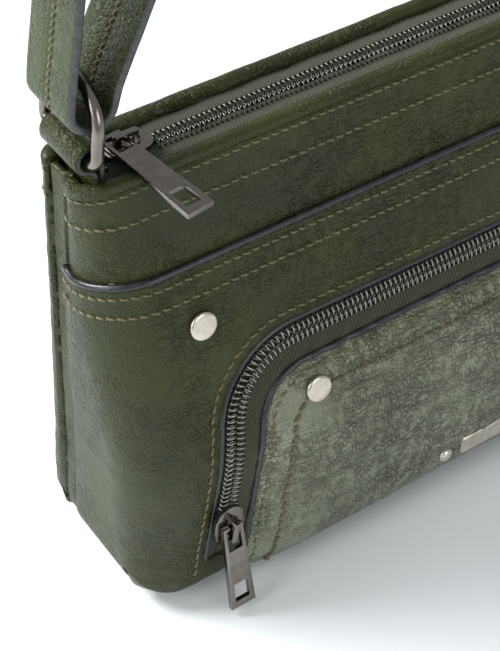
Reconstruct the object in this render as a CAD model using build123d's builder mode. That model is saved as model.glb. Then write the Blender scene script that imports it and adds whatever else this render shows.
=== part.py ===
"""Small crossbody purse with a recessed top zip, an arched front pocket and an adjustable strap.

Frame: origin on the ground under the middle of the base, +X along the bag to its right end,
+Y towards the back, +Z up.  Millimetres.
"""
from build123d import *
import math
import os

os.makedirs("parts", exist_ok=True)

# ---- driving dimensions of the bag ----
bag_width = 260.0
rim_height = 138.0
top_depth = 23.0
base_front = 33.0           # the front stands out further than the back
base_back = 27.0
knee_height = 52.0
leather = 1.6
lining = 0.5
corner_radius = 9.0
base_radius = 12.0
band_drop = 27.0            # rim down to the painted edge of the lower front panel
front_seam = (0.0, 9.0)     # depth of the gusset's front seam at the rim and at the base
back_seam = (6.5, 21.0)
base_seam = (-19.0, 13.0)
overlap = 0.9               # the lower front panel stands this far out over the band

# ---- zips ----
chain_width = 6.0
chain_thick = 2.0
tape_thick = 0.7
recess = 3.0                # top of the rims down to the zip tape
zip_end_inset = 12.0        # each end of the bag to the end of the top chain

# ---- front pocket ----
mouth_top = 84.5            # height of the outer panel's cut edge
mouth_half = 113.0          # half width of the cut at its foot
mouth_radius = 25.0
mouth_foot = 16.0
mouth_flare = 9.4           # degrees that each leg leans outwards to its foot
pocket_gap = 12.5           # from the cut edge to the pocket panel's edge
pocket_bulge = 7.0
pocket_foot = 9.0

# ---- hardware ----
wire = 3.2
ring_half = 11.9            # centreline half width of a D-ring
ring_shoulder = 7.4
ring_lean = 7.0
bar_above_rim = 8.0
bar_inset = 3.5
tab_width = 17.4
tab_thick = 3.4
eye_radius = 3.6
pin_clearance = 0.35
rivet_radius = 4.0
rivet_height = 1.3

# ---- strap ----
strap_width = 19.6
strap_thick = 2.2
strap_lean = 11.0
strand_gap = 5.5            # half the distance between the two strands at the ring
buckle_at = 190.0           # distance of the buckle's centre bar above the ring
run_length = 230.0          # straight run from the ring to the start of the crown
buckle_pitch = 12.0

half_width = bag_width / 2
band_bottom = rim_height - band_drop
front_slope = (base_front - top_depth / 2) / (rim_height - knee_height)
back_slope = (base_back - top_depth / 2) / rim_height


def front_depth(height):
    """Distance of the front face from the middle plane at a height."""
    return base_front - front_slope * max(0.0, height - knee_height)


def bag_form(inset):
    """The bag's filled outer form, moved in by inset, running on above the rim."""
    above = rim_height + 4
    with BuildPart() as form:
        with BuildSketch(Plane.YZ.offset(-half_width + inset)) as side:
            with BuildLine():
                Polyline(
                    (-base_front, 0),
                    (base_back, 0),
                    (base_back - back_slope * above, above),
                    (-front_depth(above), above),
                    (-base_front, knee_height),
                    close=True,
                )
            make_face()
            fillet(side.vertices().group_by(Axis.Y)[0], base_radius)
            fillet(side.vertices().filter_by(lambda v: abs(v.Y - knee_height) < 0.01), 60)
            if inset:
                offset(amount=-inset, kind=Kind.INTERSECTION)
        extrude(amount=bag_width - 2 * inset)
        ends = [form.faces().sort_by(Axis.X)[0], form.faces().sort_by(Axis.X)[-1]]
        rims = [e for face in ends for e in face.edges() if e.center().Z < above - 4]
        fillet(rims, min(corner_radius - inset, corner_radius + overlap))
    return form.part


def end_zone(side, top_y, base_y, seam, sheet):
    """Everything before (side -1) or behind (side 1) a gusset seam and a base seam."""
    far = side * 60
    with BuildPart() as zone:
        with BuildSketch(Plane.YZ.offset(-half_width - 5)):
            with BuildLine():
                Polyline(
                    (far, -5),
                    (seam, -5),
                    (seam, sheet),
                    (base_y, sheet),
                    (top_y, rim_height),
                    (far, rim_height),
                    close=True,
                )
            make_face()
        extrude(amount=bag_width + 10)
    return zone.part


front_zone = end_zone(-1, *front_seam, base_seam[0], leather + 0.3)
back_zone = end_zone(1, *back_seam, base_seam[1], base_radius / 2)


def mouth_profile(inward, foot):
    """Arch outline of the pocket mouth, moved in from the cut edge, down to foot."""
    flare = math.tan(math.radians(mouth_flare))
    top = mouth_top - inward
    low = mouth_half - inward + (mouth_foot - foot) * flare
    high = mouth_half - inward - (top - mouth_foot) * flare
    with BuildSketch(Plane.XZ.offset(60)) as arch:
        with BuildLine():
            Polyline((-low, foot), (low, foot), (high, top), (-high, top), close=True)
        make_face()
        fillet(arch.vertices().group_by(Axis.Y)[-1], mouth_radius - inward * 0.7)
    return arch.sketch


def slab(x_low, x_high, y_low, y_high, z_low, z_high):
    """A plain block between two corners."""
    with BuildPart() as block:
        with Locations(((x_low + x_high) / 2, (y_low + y_high) / 2, (z_low + z_high) / 2)):
            Box(x_high - x_low, y_high - y_low, z_high - z_low)
    return block.part


outer_form = bag_form(0)
inner_form = bag_form(leather)
proud_form = bag_form(-overlap)
lining_outside = leather + 1.1
lining_form = bag_form(lining_outside + lining)

# ---- leather panels ----
with BuildPart() as front_top_band:
    add(outer_form)
    add(inner_form, mode=Mode.SUBTRACT)
    add(front_zone, mode=Mode.INTERSECT)
    add(slab(-150, 150, -60, 0, band_bottom, rim_height), mode=Mode.INTERSECT)

with BuildPart() as front_lower_panel:
    add(proud_form)
    add(inner_form, mode=Mode.SUBTRACT)
    add(front_zone, mode=Mode.INTERSECT)
    add(slab(-150, 150, -60, 0, -5, band_bottom), mode=Mode.INTERSECT)
    add(slab(-150, 150, -60, 0, -5, 0), mode=Mode.SUBTRACT)
    extrude(mouth_profile(0, mouth_foot), amount=-45, mode=Mode.SUBTRACT)

with BuildPart() as back_panel:
    add(outer_form)
    add(inner_form, mode=Mode.SUBTRACT)
    add(back_zone, mode=Mode.INTERSECT)

with BuildPart() as middle_shell:
    add(outer_form)
    add(inner_form, mode=Mode.SUBTRACT)
    add(front_zone, mode=Mode.SUBTRACT)
    add(back_zone, mode=Mode.SUBTRACT)
    add(slab(-150, 150, -60, 60, -5, rim_height - 1.5), mode=Mode.INTERSECT)

with BuildPart() as gusset_left:
    add(middle_shell.part)
    add(slab(-150, -half_width + corner_radius, -60, 60, -5, 160), mode=Mode.INTERSECT)

with BuildPart() as gusset_right:
    add(middle_shell.part)
    add(slab(half_width - corner_radius, 150, -60, 60, -5, 160), mode=Mode.INTERSECT)

with BuildPart() as base_panel:
    add(middle_shell.part)
    inner_end = half_width - corner_radius
    add(slab(-inner_end, inner_end, -60, 60, -5, 10), mode=Mode.INTERSECT)

# ---- stiffener and linings ----
board_end = half_width - corner_radius - 4
with BuildPart() as base_board:
    with BuildSketch(Plane.XY.offset(leather + 0.05)):
        with Locations((0, (base_back - base_front) / 2)):
            RectangleRounded(2 * board_end, base_front + base_back - 2 * base_radius - 4, 8)
    extrude(amount=0.95)

lining_top = rim_height - 17.5
with BuildPart() as main_lining:
    add(bag_form(lining_outside))
    add(lining_form, mode=Mode.SUBTRACT)
    add(slab(-150, 150, -60, 60, -5, lining_top), mode=Mode.INTERSECT)

# ---- front pocket ----
with BuildPart() as pocket_panel:
    add(bag_form(-pocket_bulge))
    add(bag_form(-pocket_bulge + leather), mode=Mode.SUBTRACT)
    extrude(mouth_profile(pocket_gap, pocket_foot), amount=-45, mode=Mode.INTERSECT)

with BuildPart() as pocket_lining:
    add(bag_form(1.0))
    add(bag_form(1.0 + lining), mode=Mode.SUBTRACT)
    extrude(mouth_profile(0.4, mouth_foot + 0.4), amount=-45, mode=Mode.INTERSECT)

with BuildPart() as pocket_gusset:
    add(bag_form(-pocket_bulge + leather + 0.1))
    add(bag_form(-0.1), mode=Mode.SUBTRACT)
    extrude(mouth_profile(pocket_gap + 1, mouth_foot + 1), amount=-45, mode=Mode.INTERSECT)
    extrude(mouth_profile(pocket_gap + 2.2, mouth_foot + 2.2), amount=-45, mode=Mode.SUBTRACT)

chain_at = 3.4              # cut edge to the chain's centreline, along the panel
with BuildPart() as pocket_zip_outer_tape:
    add(bag_form(-0.9))
    add(bag_form(-0.9 + tape_thick), mode=Mode.SUBTRACT)
    extrude(mouth_profile(0.2, mouth_foot), amount=-45, mode=Mode.INTERSECT)
    extrude(mouth_profile(chain_at - 0.3, mouth_foot), amount=-45, mode=Mode.SUBTRACT)
    add(slab(-150, 150, -60, 0, mouth_foot + 1.0, 150), mode=Mode.INTERSECT)

with BuildPart() as pocket_zip_inner_tape:
    add(bag_form(-0.9))
    add(bag_form(-0.9 + tape_thick), mode=Mode.SUBTRACT)
    extrude(mouth_profile(chain_at + 0.3, mouth_foot), amount=-45, mode=Mode.INTERSECT)
    extrude(mouth_profile(pocket_gap + 0.8, mouth_foot), amount=-45, mode=Mode.SUBTRACT)
    add(slab(-150, 150, -60, 0, mouth_foot + 1.0, 150), mode=Mode.INTERSECT)

coil_foot = mouth_foot + 20
flare = math.radians(mouth_flare)
with BuildPart() as pocket_zip_coil:
    add(bag_form(-1.0 - chain_thick))
    add(bag_form(-1.0), mode=Mode.SUBTRACT)
    half_chain = chain_width / 2 - 0.4
    extrude(mouth_profile(chain_at - half_chain, mouth_foot), amount=-45, mode=Mode.INTERSECT)
    extrude(mouth_profile(chain_at + half_chain, mouth_foot), amount=-45, mode=Mode.SUBTRACT)
    add(slab(-150, 150, -60, 0, mouth_foot + 1, 150), mode=Mode.INTERSECT)
    add(slab(-150, 0, -60, 0, 0, coil_foot), mode=Mode.SUBTRACT)

# ---- top zip ----
tape_level = rim_height - recess
chain_end = half_width - zip_end_inset
tape_end = chain_end + 2.8
tape_inner = 0.5
with BuildPart() as front_rim_facing:
    with BuildSketch(Plane.YZ.offset(-half_width + corner_radius)):
        with BuildLine():
            rim_y = front_depth(rim_height)
            Polyline(
                (-rim_y + leather + 0.05, rim_height),
                (-8.0, rim_height),
                (-6.6, tape_level + tape_thick),
                (-8.2, tape_level + tape_thick),
                (-rim_y + leather + 0.05, rim_height - 1.6),
                close=True,
            )
        make_face()
    extrude(amount=2 * (half_width - corner_radius))

with BuildPart() as back_rim_facing:
    add(front_rim_facing.part, rotation=(0, 0, 180))

with BuildPart() as top_zip_front_tape:
    add(slab(-tape_end, tape_end, -8.6, -tape_inner, tape_level, tape_level + tape_thick))

with BuildPart() as top_zip_back_tape:
    add(slab(-tape_end, tape_end, tape_inner, 8.6, tape_level, tape_level + tape_thick))

slider_length = 12.0
slider_x = -chain_end + slider_length / 2 + 0.5
coil_start = slider_x + slider_length / 2 + 0.3
coil_base = tape_level + tape_thick + 0.02


def coil_block(side, start, end):
    """Outer shape of one row of zip coil on the upper face of its tape."""
    y_low, y_high = sorted((side * 0.05, side * (chain_width / 2)))
    return slab(start, end, y_low, y_high, coil_base, coil_base + chain_thick)


with BuildPart() as top_zip_front_coil:
    add(coil_block(-1, coil_start, chain_end))

with BuildPart() as top_zip_back_coil:
    add(coil_block(1, coil_start, chain_end))

with BuildPart() as top_zip_stops:
    for stop_x in (-chain_end - 1.5, chain_end + 1.5):
        for stop_y in (-2.2, 2.2):
            add(slab(stop_x - 1, stop_x + 1, stop_y - 1.2, stop_y + 1.2, coil_base, coil_base + 1.8))

# ---- sliders: two plates joined by a diamond, with an arched bridge ----
slider_half = 4.6
slider_plate = 1.1
slider_level = tape_thick + chain_thick + 0.35
bridge_width = 1.8
bridge_clear = 2.3
bridge_thick = 1.1
foot_at = 2.6
foot_length = 1.6
pull_thick = 1.5
pivot_rise = slider_level + slider_plate + bridge_clear + bridge_thick / 2


def slider_body(plane):
    """Slider in a plane whose x runs along the chain and whose z stands off the tape."""
    with BuildPart(plane) as body:
        with BuildSketch(plane.offset(slider_level)):
            Ellipse(slider_length / 2, slider_half)
            with Locations((slider_length * 0.25, 0), (-slider_length * 0.25, 0)):
                Circle(slider_half * 0.86)
        extrude(amount=slider_plate)
        with BuildSketch(plane.offset(slider_level + slider_plate - 0.05)):
            with Locations((foot_at, 0), (-foot_at, 0)):
                Rectangle(foot_length, bridge_width)
        extrude(amount=bridge_clear + 0.1)
        with BuildSketch(plane.offset(slider_level + slider_plate + bridge_clear)):
            RectangleRounded(2 * foot_at + foot_length, bridge_width, 0.6)
        extrude(amount=bridge_thick)
    return body.part


def pull_plate(plane, near, far, width, window):
    """Pull in a plane: x runs to its far end, window is (middle, length, width) of its eye."""
    with BuildPart(plane) as pull:
        with BuildSketch(plane):
            with BuildLine():
                Polyline(
                    (near, -width / 2 + 0.9),
                    (far, -width / 2),
                    (far, width / 2),
                    (near, width / 2 - 0.9),
                    close=True,
                )
            make_face()
        extrude(amount=pull_thick / 2, both=True)
        with BuildSketch(plane):
            with Locations((window[0], 0)):
                Rectangle(window[1], window[2])
            with Locations((far - 5.6, 0)):
                Rectangle(6.6, 4.6)
        extrude(amount=2, both=True, mode=Mode.SUBTRACT)
    return pull.part


top_plane = Plane(origin=(slider_x, 0, tape_level), x_dir=(1, 0, 0), z_dir=(0, 0, 1))
with BuildPart() as top_slider:
    add(slider_body(top_plane))

# The top pull lies across the front rim, its eye round the left foot of the bridge.
top_tilt = math.radians(2.5)
top_turn = math.radians(7)
top_pull_plane = Plane(
    origin=(slider_x - foot_at, 0, tape_level + pivot_rise - 1.6),
    x_dir=(
        math.sin(top_turn) * math.cos(top_tilt),
        -math.cos(top_turn) * math.cos(top_tilt),
        -math.sin(top_tilt),
    ),
    z_dir=(
        math.sin(top_turn) * math.sin(top_tilt),
        -math.cos(top_turn) * math.sin(top_tilt),
        math.cos(top_tilt),
    ),
)
with BuildPart() as top_pull:
    add(pull_plate(top_pull_plane, -3.2, 31.0, 7.8, (1.0, 6.0, 4.4)))

# The pocket slider rests low on the left leg of the arched zip and its pull hangs to the ground.
pocket_slider_z = mouth_foot + 15.0
leg_x = -(mouth_half - chain_at - (pocket_slider_z - mouth_foot) * math.tan(flare))
pocket_tape_y = -base_front - 0.2
leg_dir = (math.sin(flare), 0, math.cos(flare))
pocket_plane = Plane(origin=(leg_x, pocket_tape_y, pocket_slider_z), x_dir=leg_dir, z_dir=(0, -1, 0))
with BuildPart() as pocket_slider:
    add(slider_body(pocket_plane))

hang = math.radians(9)
pocket_pull_plane = Plane(
    origin=(leg_x, pocket_tape_y - pivot_rise + 1.6, pocket_slider_z),
    x_dir=(0.02, -math.sin(hang), -math.cos(hang)),
    z_dir=Vector(0.02, -math.sin(hang), -math.cos(hang)).cross(Vector(1, 0, 0.02)),
)
with BuildPart() as pocket_pull:
    add(pull_plate(pocket_pull_plane, -1.3, 28.5, 8.0, (3.45, 7.5, 4.4)))

# ---- rings and tabs ----
bar_x = half_width - bar_inset
bar_z = rim_height + bar_above_rim


def d_ring(side):
    """Wire D-ring, its bar through the tab's eye, leaning in over the bag."""
    tilt = math.radians(ring_lean)
    up = Vector(-side * math.sin(tilt), 0, math.cos(tilt))
    plane = Plane(origin=(side * bar_x, 0, bar_z), x_dir=(0, 1, 0), z_dir=Vector(0, 1, 0).cross(up))
    with BuildPart() as ring:
        with BuildLine(plane) as path:
            Line((0, 0), (ring_half - 3, 0))
            RadiusArc((ring_half - 3, 0), (ring_half, 3), -3)
            Line((ring_half, 3), (ring_half, ring_shoulder))
            RadiusArc((ring_half, ring_shoulder), (0, ring_shoulder + ring_half), -ring_half)
        with BuildSketch(Plane(origin=plane.origin, z_dir=(0, 1, 0))):
            Circle(wire / 2)
        sweep(path=path.wire())
        mirror(about=Plane.XZ)
    return ring.part


def ring_tab(side):
    """Folded leather tongue with an eye round the ring's bar."""
    outer_face = half_width - leather - 2.8
    with BuildPart() as tab:
        with BuildSketch(Plane.XZ):
            with Locations((side * bar_x, bar_z)):
                Circle(eye_radius)
            tongue_mid = outer_face - tab_thick / 2
            with Locations((side * tongue_mid, (bar_z + rim_height - 16) / 2)):
                Rectangle(tab_thick, bar_z - rim_height + 16)
            with Locations((side * bar_x, bar_z)):
                Circle(wire / 2 + pin_clearance, mode=Mode.SUBTRACT)
        extrude(amount=tab_width / 2, both=True)
    return tab.part


with BuildPart() as d_ring_left:
    add(d_ring(-1))

with BuildPart() as d_ring_right:
    add(d_ring(1))

with BuildPart() as ring_tab_left:
    add(ring_tab(-1))

with BuildPart() as ring_tab_right:
    add(ring_tab(1))

# ---- strap: one strip in the XZ plane, extruded to its width ----
lean = math.radians(strap_lean)
ring_top = ring_shoulder + ring_half
wire_x = bar_x - ring_top * math.sin(math.radians(ring_lean))
wire_z = bar_z + ring_top * math.cos(math.radians(ring_lean))
loop_drop = 5.0


def run_point(side, along, across):
    """Point beside the straight run; across is positive towards the bag's middle."""
    inward = along * math.sin(lean) + across * math.cos(lean)
    return (side * (wire_x - inward), wire_z + along * math.cos(lean) - across * math.sin(lean))


under_bar = strap_thick / 2 + 3.5
fold_hole = 2.25
over_bar = 8.4
outer_strand = [
    (-loop_drop, -strand_gap),
    (60, -7.2),
    (120, -6.4),
    (buckle_at - 40, -3.0),
    (buckle_at - buckle_pitch, under_bar),
    (buckle_at, -over_bar),
    (buckle_at + buckle_pitch, under_bar),
    (buckle_at + 30, 0.6),
    (run_length, 0),
]
inner_strand = [
    (-loop_drop, strand_gap),
    (24, 11.5),
    (60, 13.5),
    (120, 12.0),
    (buckle_at - 30, 9.2),
    (buckle_at - buckle_pitch, 8.0),
    (buckle_at - 1.0, 3.35),
]
tail_strand = [
    (buckle_at - 36, 11.4),
    (buckle_at - buckle_pitch, 10.2),
    (buckle_at - 3.0, 4.4),
]
crown_radius = run_point(1, run_length, 0)[0] / math.cos(lean)
crown_top = run_point(1, run_length, 0)[1] + crown_radius * (1 - math.sin(lean))
right_fold = 36.0

with BuildPart() as strap:
    with BuildSketch(Plane.XZ) as strap_outline:
        with BuildLine() as outer_line:
            outer_points = [run_point(-1, a, c) for a, c in outer_strand]
            FilletPolyline(*outer_points, radius=[40, 40, 40, 5, 5, 5, 20])
        trace(line_width=strap_thick)
        with BuildLine() as inner_line:
            inner_points = [run_point(-1, a, c) for a, c in inner_strand]
            FilletPolyline(*inner_points, radius=[30, 40, 40, 30, 12])
        trace(line_width=strap_thick)
        with BuildLine() as tail_line:
            tail_points = [run_point(-1, a, c) for a, c in tail_strand]
            FilletPolyline(*tail_points, radius=[12])
        trace(line_width=strap_thick)
        with BuildLine() as loop_line:
            ThreePointArc(
                run_point(-1, -loop_drop, -strand_gap),
                run_point(-1, -loop_drop - strand_gap, 0),
                run_point(-1, -loop_drop, strand_gap),
            )
        trace(line_width=strap_thick)
        with BuildLine() as crown_line:
            ThreePointArc(run_point(-1, run_length, 0), (0, crown_top), run_point(1, run_length, 0))
        trace(line_width=strap_thick)
        with BuildLine() as right_line:
            right_strand = [(run_length, 0), (60, -0.6), (right_fold, -3.5), (-loop_drop, -strand_gap)]
            right_points = [run_point(1, a, c) for a, c in right_strand]
            FilletPolyline(*right_points, radius=[60, 12])
        trace(line_width=strap_thick)
        with BuildLine() as right_loop:
            ThreePointArc(
                run_point(1, -loop_drop, -strand_gap),
                run_point(1, -loop_drop - strand_gap, 0),
                run_point(1, -loop_drop, strand_gap),
            )
        trace(line_width=strap_thick)
        with BuildLine() as right_tail:
            tail_back = [(-loop_drop, strand_gap), (right_fold, 0.2), (right_fold + 30, 1.7)]
            tail_back_points = [run_point(1, a, c) for a, c in tail_back]
            FilletPolyline(*tail_back_points, radius=[12])
        trace(line_width=strap_thick)
        with Locations(run_point(-1, buckle_at, 0)):
            Circle(fold_hole + strap_thick)
            Circle(fold_hole, mode=Mode.SUBTRACT)
    extrude(amount=strap_width / 2, both=True)

# ---- strap fittings ----
run_dir = Vector(math.sin(lean), 0, math.cos(lean))
across_dir = Vector(math.cos(lean), 0, -math.sin(lean))
buckle_x, buckle_z = run_point(-1, buckle_at, 0)
buckle_plane = Plane(origin=(buckle_x, 0, buckle_z), x_dir=run_dir, z_dir=across_dir)
with BuildPart() as strap_buckle:
    with BuildSketch(buckle_plane):
        RectangleRounded(2 * buckle_pitch + 3, 28.2, 2.5)
        with Locations((buckle_pitch / 2, 0), (-buckle_pitch / 2, 0)):
            Rectangle(buckle_pitch - 3, 20.8, mode=Mode.SUBTRACT)
    extrude(amount=1.2, both=True)

with BuildPart() as strap_rivet:
    rivet_x, rivet_z = run_point(1, right_fold + 12, 0.4)
    with BuildSketch(Plane(origin=(rivet_x, 0, rivet_z), z_dir=(math.cos(lean), 0, math.sin(lean)))):
        Circle(3.0)
    extrude(amount=4.4, both=True)

# ---- rivets on the panels ----
upper_rivet = (half_width - 24.0, 94.5)
pocket_rivet = (half_width - 53.0, 64.0)


def plain_cap(x, height, outward, radius, thick):
    """Round disc standing on the front face at a height."""
    tilt = math.atan(front_slope) if height > knee_height else 0.0
    normal = Vector(0, -math.cos(tilt), math.sin(tilt))
    seat = Vector(x, -front_depth(height), height) + normal * outward
    with BuildPart() as cap:
        with BuildSketch(Plane(origin=seat, z_dir=normal)):
            Circle(radius)
        extrude(amount=thick)
    return cap.part


with BuildPart() as panel_rivets:
    for x in (-upper_rivet[0], upper_rivet[0]):
        add(plain_cap(x, upper_rivet[1], overlap + 0.05, rivet_radius, rivet_height))

with BuildPart() as pocket_rivets:
    for x in (-pocket_rivet[0], pocket_rivet[0]):
        add(plain_cap(x, pocket_rivet[1], pocket_bulge + 0.05, rivet_radius, rivet_height))

# ---- plain bar plate low on the pocket, with a small dome rivet beside each end ----
plate_length = 54.0
plate_height = 7.0
plate_level = 17.0
with BuildPart() as bar_plate:
    with BuildSketch(Plane.XZ.offset(base_front + pocket_bulge + 0.05)):
        with Locations((0, plate_level)):
            RectangleRounded(plate_length, plate_height, 0.8)
    extrude(amount=1.6)
    chamfer(bar_plate.faces().sort_by(Axis.Y)[0].edges(), 0.6)

with BuildPart() as dome_rivets:
    for x in (-plate_length / 2 - 6, plate_length / 2 + 6):
        add(plain_cap(x, plate_level, pocket_bulge + 0.05, 2.3, 1.2))

with BuildPart() as rivet_backs:
    for x in (-upper_rivet[0], upper_rivet[0]):
        add(plain_cap(x, upper_rivet[1], -leather - 0.95, rivet_radius, 0.9))

pieces = {
    "front_top_band": front_top_band,
    "front_lower_panel": front_lower_panel,
    "back_panel": back_panel,
    "gusset_left": gusset_left,
    "gusset_right": gusset_right,
    "base_panel": base_panel,
    "base_board": base_board,
    "main_lining": main_lining,
    "pocket_panel": pocket_panel,
    "pocket_lining": pocket_lining,
    "pocket_gusset": pocket_gusset,
    "pocket_zip_outer_tape": pocket_zip_outer_tape,
    "pocket_zip_inner_tape": pocket_zip_inner_tape,
    "pocket_zip_coil": pocket_zip_coil,
    "pocket_slider": pocket_slider,
    "pocket_pull": pocket_pull,
    "front_rim_facing": front_rim_facing,
    "back_rim_facing": back_rim_facing,
    "top_zip_front_tape": top_zip_front_tape,
    "top_zip_back_tape": top_zip_back_tape,
    "top_zip_front_coil": top_zip_front_coil,
    "top_zip_back_coil": top_zip_back_coil,
    "top_zip_stops": top_zip_stops,
    "top_slider": top_slider,
    "top_pull": top_pull,
    "ring_tab_left": ring_tab_left,
    "ring_tab_right": ring_tab_right,
    "d_ring_left": d_ring_left,
    "d_ring_right": d_ring_right,
    "strap": strap,
    "strap_buckle": strap_buckle,
    "strap_rivet": strap_rivet,
    "panel_rivets": panel_rivets,
    "pocket_rivets": pocket_rivets,
    "rivet_backs": rivet_backs,
    "bar_plate": bar_plate,
    "dome_rivets": dome_rivets,
}
for name, piece in pieces.items():
    piece.part.label = name
    export_step(piece.part, f"parts/{name}.step")

print("top pull swivels about", top_pull_plane.origin)
print("pocket pull turns about", pocket_pull_plane.origin - pocket_pull_plane.x_dir * 0.8, "leg", leg_dir)
print("strap crown", crown_top, "ring wire", wire_x, wire_z)
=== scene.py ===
"""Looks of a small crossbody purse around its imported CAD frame.  Shapes are worked out in millimetres."""
import math
import random
from contextlib import contextmanager

import bmesh
import bpy
import numpy as np
from mathutils import Matrix, Vector, noise
from mathutils.geometry import delaunay_2d_cdt


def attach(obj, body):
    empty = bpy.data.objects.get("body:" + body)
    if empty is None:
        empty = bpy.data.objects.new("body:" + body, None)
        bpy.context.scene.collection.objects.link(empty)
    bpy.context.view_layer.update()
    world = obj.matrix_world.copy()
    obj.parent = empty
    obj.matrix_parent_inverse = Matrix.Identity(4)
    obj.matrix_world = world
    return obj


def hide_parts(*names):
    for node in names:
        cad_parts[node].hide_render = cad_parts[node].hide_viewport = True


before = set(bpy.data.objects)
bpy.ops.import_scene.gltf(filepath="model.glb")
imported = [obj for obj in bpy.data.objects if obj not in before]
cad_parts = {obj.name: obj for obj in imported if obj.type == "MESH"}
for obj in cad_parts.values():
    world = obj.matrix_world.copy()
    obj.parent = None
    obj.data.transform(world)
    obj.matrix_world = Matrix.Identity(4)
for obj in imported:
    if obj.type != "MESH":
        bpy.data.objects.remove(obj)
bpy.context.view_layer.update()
MM = 0.001
random.seed(7)

# ---- the bag's driving dimensions, as in the CAD ----
HALF_WIDTH = 130.0
RIM = 138.0
TOP_HALF = 11.5
BASE_FRONT = 33.0
BASE_BACK = 27.0
KNEE = 52.0
CORNER = 8.0
WIDE_CORNER = 17.0
BASE_ROUND = 12.0
LEATHER = 1.6
BAND_DROP = 27.0
FRONT_SEAM = (0.0, 9.0)
BACK_SEAM = (6.5, 14.0)
MOUTH_TOP = 84.5
MOUTH_HALF = 113.0
MOUTH_RADIUS = 25.0
MOUTH_FOOT = 16.0
MOUTH_FLARE = math.radians(9.4)
POCKET_GAP = 12.5
POCKET_FOOT = 6.0
CHAIN_AT = 3.4
TAPE_LEVEL = 135.7


def clamp(share):
    """A share kept between 0 and 1."""
    return min(1.0, max(0.0, share))


# ---- mesh helpers; a shape is a list of points in millimetres and a list of faces ----
def new_piece(name, shape, materials):
    """A smooth mesh object made from a shape."""
    verts, faces = shape
    mesh = bpy.data.meshes.new(name)
    mesh.from_pydata([tuple(c * MM for c in v) for v in verts], [], faces)
    mesh.validate()
    mesh.update()
    for polygon in mesh.polygons:
        polygon.use_smooth = True
    for material in materials:
        mesh.materials.append(material)
    piece = bpy.data.objects.new(name, mesh)
    bpy.context.scene.collection.objects.link(piece)
    return piece


def place(piece, body, nodes=()):
    """Rides a piece on a body, and hides the CAD nodes it stands for."""
    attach(piece, body)
    if nodes:
        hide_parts(*nodes)


def add(name, shape, materials, nodes=()):
    """Makes a piece of the bag itself."""
    place(new_piece(name, shape, materials), "bag", nodes)


def grid_faces(rows, columns):
    """Faces of a net of points, one more each way than its rows and columns."""
    faces = []
    for row in range(rows):
        for column in range(columns):
            a = row * (columns + 1) + column
            faces.append((a, a + 1, a + columns + 2, a + columns + 1))
    return faces


def tube(rings):
    """Shape made of rings of points, each joined to the next, with closed ends."""
    count = len(rings[0])
    last = (len(rings) - 1) * count
    faces = []
    for first in range(0, last, count):
        for k in range(count):
            n = (k + 1) % count
            faces.append((first + k, first + n, first + count + n, first + count + k))
    faces += [tuple(range(count))[::-1], tuple(range(last, last + count))]
    return [point for ring in rings for point in ring], faces


def joined(parts):
    """Joins several shapes into one."""
    verts, faces = [], []
    for part_verts, part_faces in parts:
        first = len(verts)
        verts += list(part_verts)
        faces += [tuple(i + first for i in face) for face in part_faces]
    return verts, faces


def paint_edges(piece, around, rings):
    """Gives the second material to the marked sides of a tube and to its two ends."""
    for polygon, slot in zip(piece.data.polygons, around * (rings - 1) + [1, 1]):
        polygon.material_index = slot


@contextmanager
def edited(piece):
    """Opens a piece's mesh for editing and writes it back."""
    bm = bmesh.new()
    bm.from_mesh(piece.data)
    yield bm
    bm.to_mesh(piece.data)
    bm.free()


def weld(piece, distance):
    """Merges the points of a piece that lie together."""
    with edited(piece) as bm:
        bmesh.ops.remove_doubles(bm, verts=bm.verts, dist=distance * MM)


def agree(piece):
    """Makes the faces of a closed piece look outwards."""
    with edited(piece) as bm:
        bmesh.ops.recalc_face_normals(bm, faces=bm.faces)


def aim_outwards(piece, middle=(0, 0, 70)):
    """Makes the faces of a sheet look away from a point in the middle of the bag."""
    weld(piece, 0.05)
    centre = Vector(middle) * MM
    with edited(piece) as bm:
        bmesh.ops.recalc_face_normals(bm, faces=bm.faces)
        if sum((f.calc_center_median() - centre).dot(f.normal) * f.calc_area() for f in bm.faces) < 0:
            bmesh.ops.reverse_faces(bm, faces=bm.faces)


def apply_modifiers(piece):
    """Turns a piece's modifiers into its mesh."""
    graph = bpy.context.evaluated_depsgraph_get()
    mesh = bpy.data.meshes.new_from_object(piece.evaluated_get(graph))
    piece.modifiers.clear()
    piece.data = mesh


def thicken(piece, thickness):
    """Gives a sheet its thickness on the inner side; the cut edge takes the second material."""
    modifier = piece.modifiers.new("thickness", "SOLIDIFY")
    modifier.thickness = thickness * MM
    modifier.offset = -1
    modifier.use_even_offset = False
    modifier.material_offset_rim = 1
    apply_modifiers(piece)


def soften(piece, width):
    """Rounds a piece's sharp edges."""
    modifier = piece.modifiers.new("edges", "BEVEL")
    modifier.width = width * MM
    modifier.segments = 3
    modifier.limit_method = "ANGLE"
    modifier.angle_limit = math.radians(38)
    modifier.use_clamp_overlap = True
    apply_modifiers(piece)


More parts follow.
